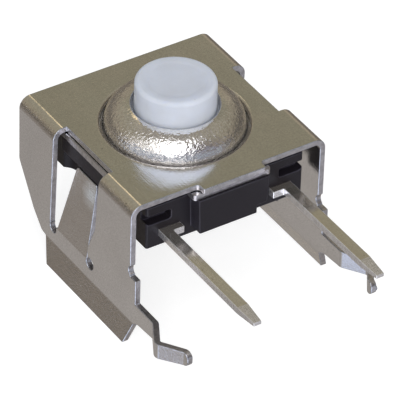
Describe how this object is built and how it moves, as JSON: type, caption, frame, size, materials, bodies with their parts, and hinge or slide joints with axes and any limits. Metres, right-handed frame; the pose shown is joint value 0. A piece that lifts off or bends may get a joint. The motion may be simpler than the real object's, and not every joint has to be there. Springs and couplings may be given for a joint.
{
  "type": "tactile switch",
  "caption": "Right-angle tactile push switch with a round button, domed cover, folded snap-in bracket and straight through-hole pins.",
  "frame": {"origin": "middle of the switch's overall box in X and Y, on the feet of the bracket in Z", "axes": "+X across the switch to the right-hand wing, -Y towards the circuit board that the pins and snap-in legs enter, +Z the way the button stands"},
  "size_m": [0.0082, 0.0118, 0.0068],
  "materials": {
    "bracket_steel": "tin-plated steel sheet, semi-bright",
    "cover_steel": "tin-plated steel sheet, drawn, slightly grained",
    "base_plastic": "black moulded thermoplastic",
    "terminal_metal": "tin-plated brass strip",
    "disc_steel": "bright spring steel",
    "button_plastic": "pale bluish-white moulded thermoplastic, satin"
  },
  "bodies": {
    "housing": {"bracket": "bracket_steel", "cover": "cover_steel", "base": "base_plastic", "terminal_left": "terminal_metal", "terminal_right": "terminal_metal", "snap_disc": "disc_steel"},
    "plunger": {"button": "button_plastic"}
  },
  "joints": [
    {"name": "button_press", "type": "slide", "parent": "housing", "child": "plunger", "axis": [0, 0, 1], "range_m": [-0.00025, 0], "stiffness_N_per_m": 4000, "springref_m": 0.0001, "deforming": ["snap_disc"]}
  ]
}
